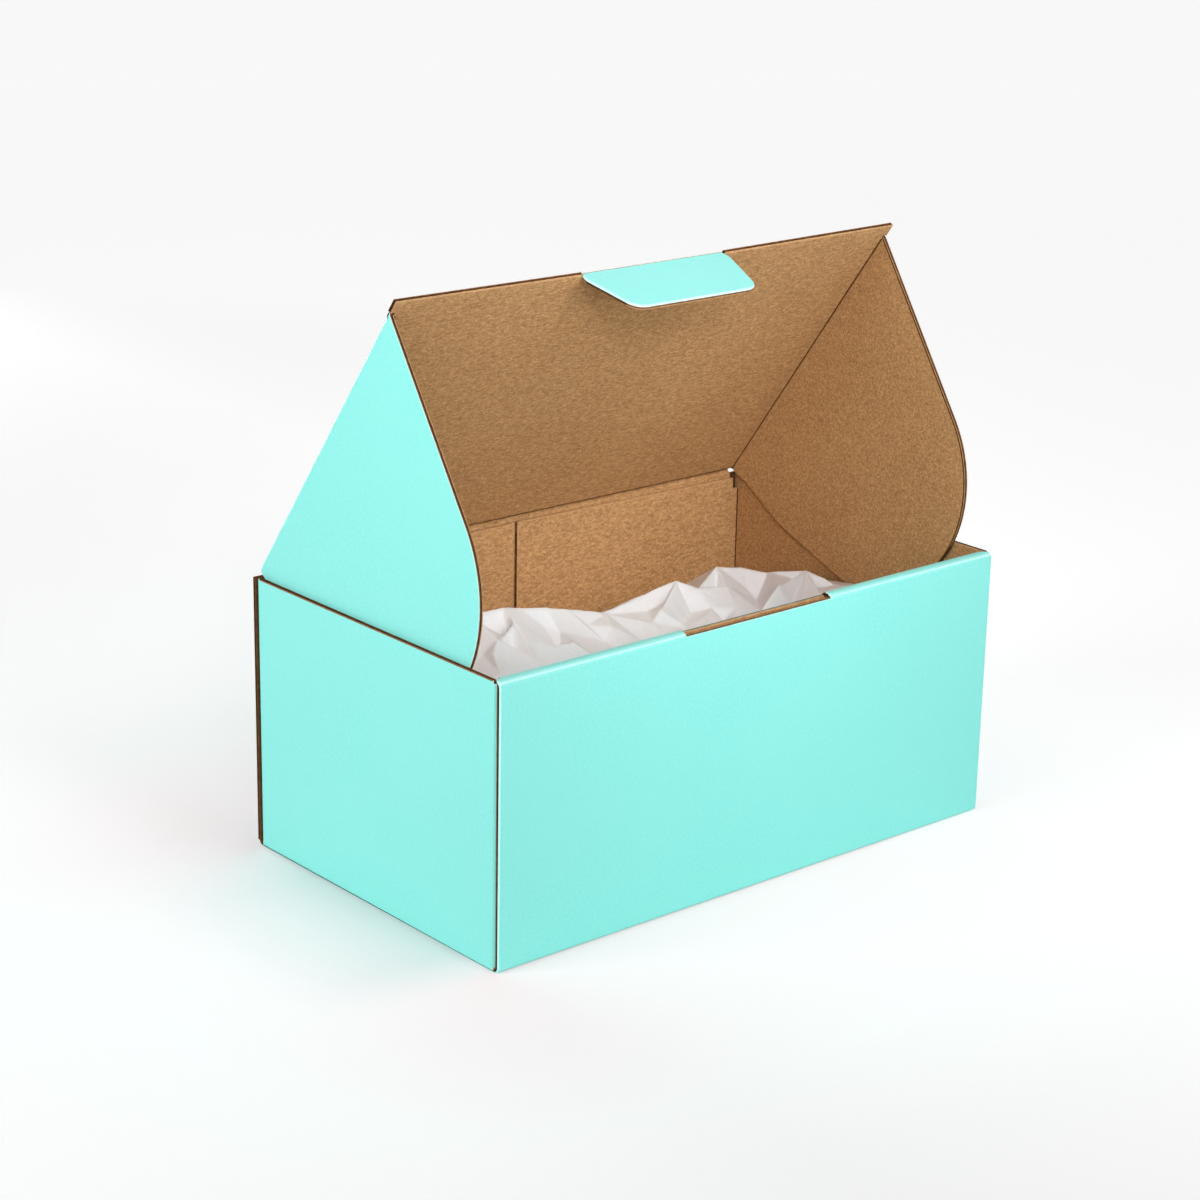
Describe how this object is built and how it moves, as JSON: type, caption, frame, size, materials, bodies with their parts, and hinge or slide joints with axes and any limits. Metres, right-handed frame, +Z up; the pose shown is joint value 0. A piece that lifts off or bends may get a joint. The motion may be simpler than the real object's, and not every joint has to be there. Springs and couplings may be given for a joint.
{
  "type": "open mailer box",
  "caption": "Open one-piece mailer box of corrugated board with a hinged winged lid, a tuck tab that locks in a slot, and crumpled tissue paper inside.",
  "frame": {"origin": "middle of the box's footprint, on the surface it stands on", "axes": "+X to the right along the front wall, +Y to the back where the lid is hinged, +Z up"},
  "size_m": [0.2, 0.12, 0.1859],
  "materials": {
    "board": "matt",
    "tissue": "matt"
  },
  "bodies": {
    "box": {"box_body": "board", "tissue_paper": "tissue"},
    "lid": {"lid": "board"},
    "tab": {"tuck_tab": "board"}
  },
  "joints": [
    {"name": "lid_hinge", "type": "hinge", "parent": "box", "child": "lid", "pos_m": [0, 0.06, 0.0897], "axis": [-1, 0, 0], "range_deg": [-51, 126]},
    {"name": "tab_fold", "type": "hinge", "parent": "lid", "child": "tab", "pos_m": [-0.001, -0.00956, 0.18545], "axis": [1, 0, 0], "range_deg": [-68, 25]}
  ]
}
